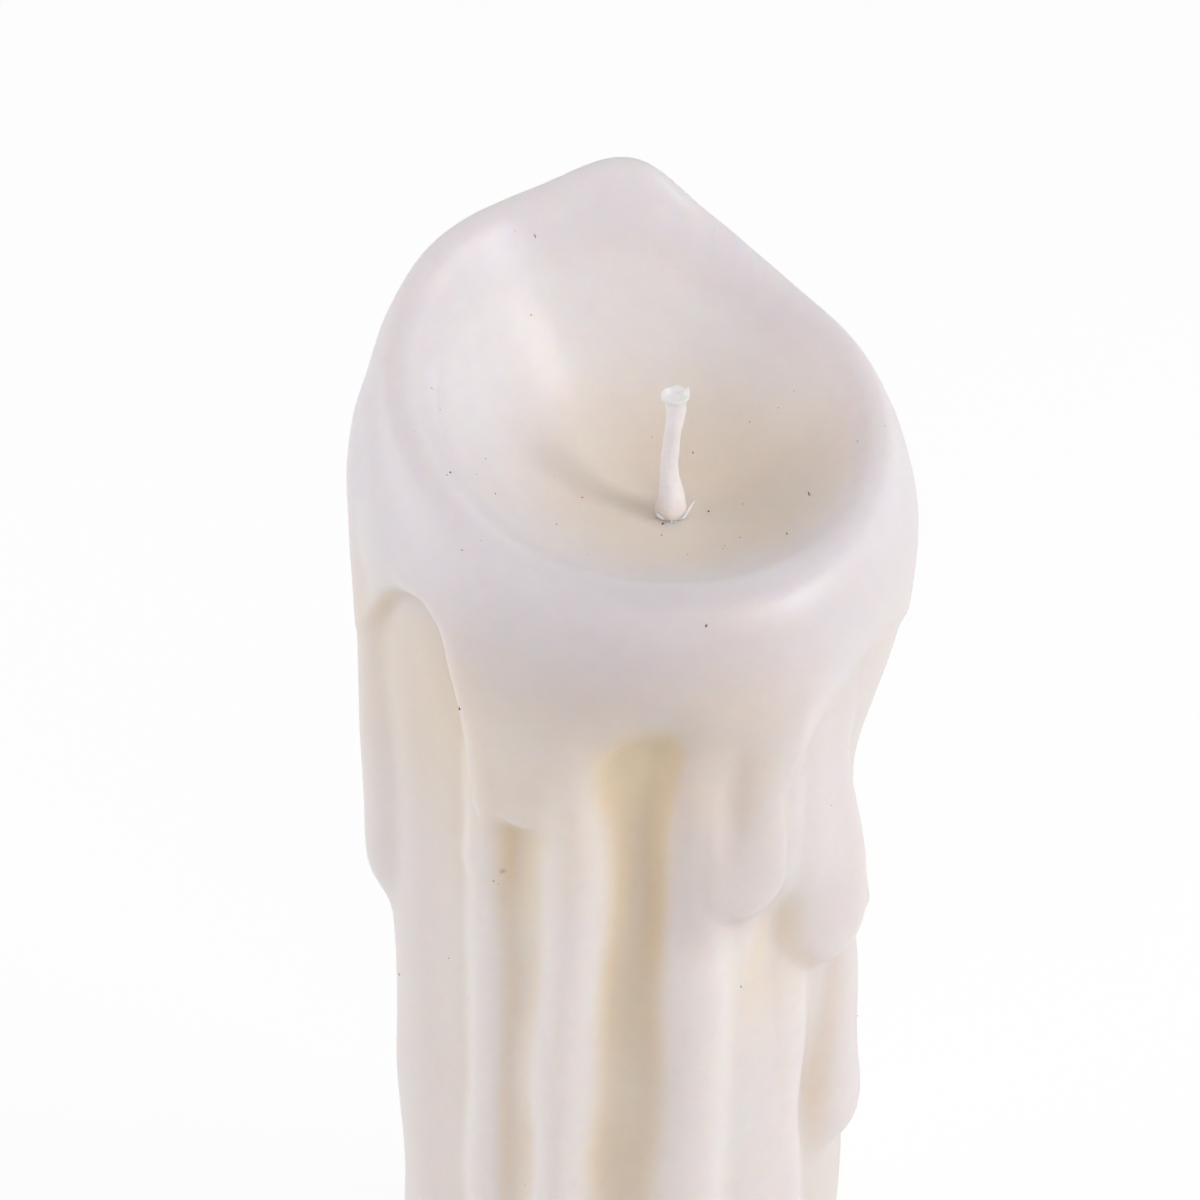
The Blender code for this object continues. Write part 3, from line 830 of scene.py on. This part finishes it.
def wick():
    """The braid: wax-soaked and wide at the foot, kinked, with a flared and torn cut end."""
    stations = np.array(WICK_STATIONS)
    at = np.arange(len(stations))
    fine = np.linspace(0, len(stations) - 1, (len(stations) - 1) * WICK_STEPS + 1)
    rise, offset, radius = (np.interp(fine, at, column) for column in stations.T)
    soften = np.hanning(WICK_STEPS + 2)[1:-1]
    soften /= soften.sum()
    half = len(soften) // 2
    offset = np.convolve(np.pad(offset, half, "edge"), soften, "valid")
    # The sunken middle of the cut end stays sharp.
    sharp = -2 * WICK_STEPS
    radius[:sharp] = np.convolve(np.pad(radius, half, "edge"), soften, "valid")[:sharp]
    turns = np.linspace(-math.pi, math.pi, WICK_SIDES, endpoint=False)
    t, a = np.meshgrid(rise, turns, indexing="ij")
    twist = 2 * math.pi * t / BRAID_PITCH
    strands = np.maximum(np.sin(BRAID_STRANDS * a + twist), np.sin(BRAID_STRANDS * a - twist))
    lump = np.sin(t / WICK_LUMP_SIZE + 2 * a) + np.sin(t / WICK_LUMP_SIZE * WICK_LUMP_SECOND - a)
    lump = lump * (t < WICK_TORN_FROM - WICK_EVEN_BELOW)
    r = radius[:, None] * (1 + BRAID_DEPTH * strands + WICK_LUMP * lump)
    x = WICK_X + offset[:, None] + r * np.sin(a)
    y = -r * np.cos(a)
    torn = smooth_step((t - WICK_TORN_FROM) / WICK_TORN_WITHIN)
    torn = torn * smooth_step((r - WICK_LIP_FROM) / WICK_LIP_WIDTH)
    z = BOWL_FLOOR + t
    for angle, spread, height in WICK_LIPS:
        z = z + torn * height * np.exp(-((turn(a - math.radians(angle)) / math.radians(spread)) ** 2))
    points = np.stack([x, y, z], axis=2).reshape(-1, 3)
    faces = ring_faces(len(rise), WICK_SIDES)
    made = mesh_object("braid", points, faces, wick_material())
    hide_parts("wick")


def way_out(starts, directions, furthest=40.0, halvings=24):
    """Where straight lines that start inside the wax come out of it."""
    near = np.zeros(len(starts))
    far = np.full(len(starts), furthest)
    for _ in range(halvings):
        middle = (near + far) / 2
        inside = wax_field(*(starts + directions * middle[:, None]).T) < 0
        near = np.where(inside, middle, near)
        far = np.where(inside, far, middle)
    return starts + directions * near[:, None]


def on_top(places, below=8.0):
    """Points on the wax over places in the plan, looked for from that far below the bowl's floor."""
    x, y = np.array(places, float).T
    starts = np.stack([x, y, np.full(len(x), BOWL_FLOOR - below)], axis=1)
    return way_out(starts, np.tile((0.0, 0.0, 1.0), (len(x), 1)))


def on_side(places, within=3.0):
    """Points on the wax's outside at an angle and a height, looked for from that far inside it."""
    angle, height = np.array(places, float).T
    outward = np.stack([np.sin(np.radians(angle)), -np.cos(np.radians(angle)), 0 * angle], axis=1)
    starts = outward * (CORE_RADIUS - within) + np.stack([0 * height, 0 * height, height], axis=1)
    return way_out(starts, outward)


def lumps(name, places, radii, stretches, made_of):
    """Small uneven lumps sitting in the surface, all in one mesh."""
    draw = random.Random(name)
    mesh = bmesh.new()
    for place, radius, stretch in zip(places, radii, stretches):
        facing = Euler([draw.uniform(0, 2 * math.pi) for _ in range(3)]).to_matrix().to_4x4()
        size = Matrix.Diagonal((radius * stretch, radius * draw.uniform(0.7, 1), radius, 1))
        lump = bmesh.ops.create_icosphere(mesh, subdivisions=1, radius=1.0)["verts"]
        for vertex in lump:
            vertex.co = vertex.co * draw.uniform(0.8, 1.15)
        bmesh.ops.transform(mesh, matrix=Matrix.Translation(place) @ facing @ size, verts=lump)
    points = [tuple(vertex.co) for vertex in mesh.verts]
    faces = [tuple(vertex.index for vertex in face.verts) for face in mesh.faces]
    mesh.free()
    return mesh_object(name, points, faces, made_of)


def crumbs():
    """Crumbs of wax in the bowl, and the strands of wax round the wick's foot."""
    x, y, radii = np.array(CRUMBS).T
    places = on_top(np.stack([x, y], axis=1))
    lumps("crumbs", places, radii, [CRUMB_STRETCH] * len(radii), crumb_material())
    for number, strand in enumerate(STRANDS):
        at = np.arange(len(strand))
        fine = np.linspace(0, len(strand) - 1, STRAND_STEPS * len(strand))
        angle, far, rise, radius = (np.interp(fine, at, column) for column in np.array(strand).T)
        turned = np.radians(angle)
        x = WICK_X - STRAND_FOOT + far * np.sin(turned)
        centres = np.stack([x, -far * np.cos(turned), BOWL_FLOOR + rise], axis=1)
        points, faces = tube(centres, np.tile(radius[:, None], (1, STRAND_SIDES)))
        mesh_object(f"strand_{number}", points, faces, crumb_material())


def specks():
    """Dirt: single dark specks, and many fine ones anywhere on the wax."""
    draw = np.random.default_rng(SEED)
    top = np.array(BOWL_SPECKS)
    side = np.array(SIDE_SPECKS)
    count = LOOSE_SPECKS // 2
    far = np.sqrt(draw.uniform(0, 1, count)) * (CORE_RADIUS + SPECK_BEYOND)
    turned = draw.uniform(0, 2 * math.pi, count)
    loose_top = on_top(np.stack([far * np.sin(turned), far * np.cos(turned)], axis=1))
    angles = draw.uniform(-180, 180, count)
    heights = draw.uniform(*SPECK_HEIGHTS, count)
    loose_side = on_side(np.stack([angles, heights], axis=1))
    places = np.concatenate([on_top(top[:, :2]), on_side(side[:, :2]), loose_top, loose_side])
    loose = SPECK_RADIUS * np.exp(SPECK_SPREAD * draw.normal(size=2 * count))
    radii = np.concatenate([top[:, 2], side[:, 2], loose])
    stretches = np.concatenate([top[:, 3], side[:, 3], draw.choice(SPECK_STRETCHES, 2 * count)])
    lumps("specks", places, radii, stretches, dirt_material())


def seen_directly(tree):
    """1 for what is seen straight on, in a reflection or through glass, and 0 for the light it gives."""
    path = put(tree, "ShaderNodeLightPath").outputs
    seen = maths(tree, "MAXIMUM", path["Is Camera Ray"], path["Is Glossy Ray"])
    return maths(tree, "MAXIMUM", seen, path["Is Transmission Ray"])


def pale_world():
    """A world that looks white and lights the candle evenly."""
    scene = bpy.context.scene
    world = bpy.data.worlds.new("studio")
    scene.world = world
    world.use_nodes = True
    tree = world.node_tree
    seen = seen_directly(tree)
    given = put(tree, "ShaderNodeBackground", {"Color": WHITE, "Strength": WORLD_LIGHT})
    shown = put(tree, "ShaderNodeBackground", {"Color": WHITE, "Strength": WORLD_SHOWN})
    mixed = put(tree, "ShaderNodeMixShader", {0: seen, 1: given.outputs[0], 2: shown.outputs[0]})
    tree.links.new(mixed.outputs[0], tree.nodes["World Output"].inputs[0])


def pale_floor():
    """A floor that looks nearly white and keeps the candle's shadow."""
    mesh = bpy.data.meshes.new("floor")
    corners = [(x * FLOOR_HALF, y * FLOOR_HALF, 0) for x, y in ((-1, -1), (1, -1), (1, 1), (-1, 1))]
    mesh.from_pydata(corners, [], [(0, 1, 2, 3)])
    floor = bpy.data.objects.new("floor", mesh)
    bpy.context.scene.collection.objects.link(floor)
    made, tree, shader, _ = material("floor_look")
    mesh.materials.append(made)
    shader.inputs["Base Color"].default_value = FLOOR_GREY
    shader.inputs["Roughness"].default_value = 0.8
    glow = put(tree, "ShaderNodeEmission", {"Color": WHITE, "Strength": FLOOR_GLOW})
    share = maths(tree, "MULTIPLY", seen_directly(tree), FLOOR_GLOW_SHARE)
    mixed = put(tree, "ShaderNodeMixShader", {0: share, 1: shader.outputs[0], 2: glow.outputs[0]})
    tree.links.new(mixed.outputs[0], tree.nodes["Material Output"].inputs[0])


def lamps():
    """Soft round lamps, all turned towards the upper part of the candle."""
    for lamp in LAMPS:
        light = bpy.data.lights.new(lamp.name, "AREA")
        light.shape = "DISK"
        light.size = lamp.size
        light.energy = lamp.power
        made = bpy.data.objects.new(lamp.name, light)
        bpy.context.scene.collection.objects.link(made)
        towards = Vector(lamp.direction).normalized()
        made.location = Vector(LAMP_AIM) + towards * lamp.distance
        made.rotation_euler = towards.to_track_quat("Z", "Y").to_euler()


def camera():
    """A long lens that looks down at the candle from the front."""
    elevation = math.radians(CAMERA_ELEVATION)
    back = Vector((0, -math.cos(elevation), math.sin(elevation)))
    lens = bpy.data.cameras.new("camera")
    lens.lens = CAMERA_LENS
    lens.sensor_width = CAMERA_SENSOR
    lens.clip_start = CAMERA_NEAREST * MM
    made = bpy.data.objects.new("camera", lens)
    bpy.context.scene.collection.objects.link(made)
    made.location = (Vector(CAMERA_TARGET) + back * CAMERA_DISTANCE) * MM
    made.rotation_euler = back.to_track_quat("Z", "Y").to_euler()
    bpy.context.scene.camera = made
    bpy.context.scene.view_settings.view_transform = "Standard"


camera()
pale_world()
pale_floor()
lamps()
wax_body()
wick()
crumbs()
specks()
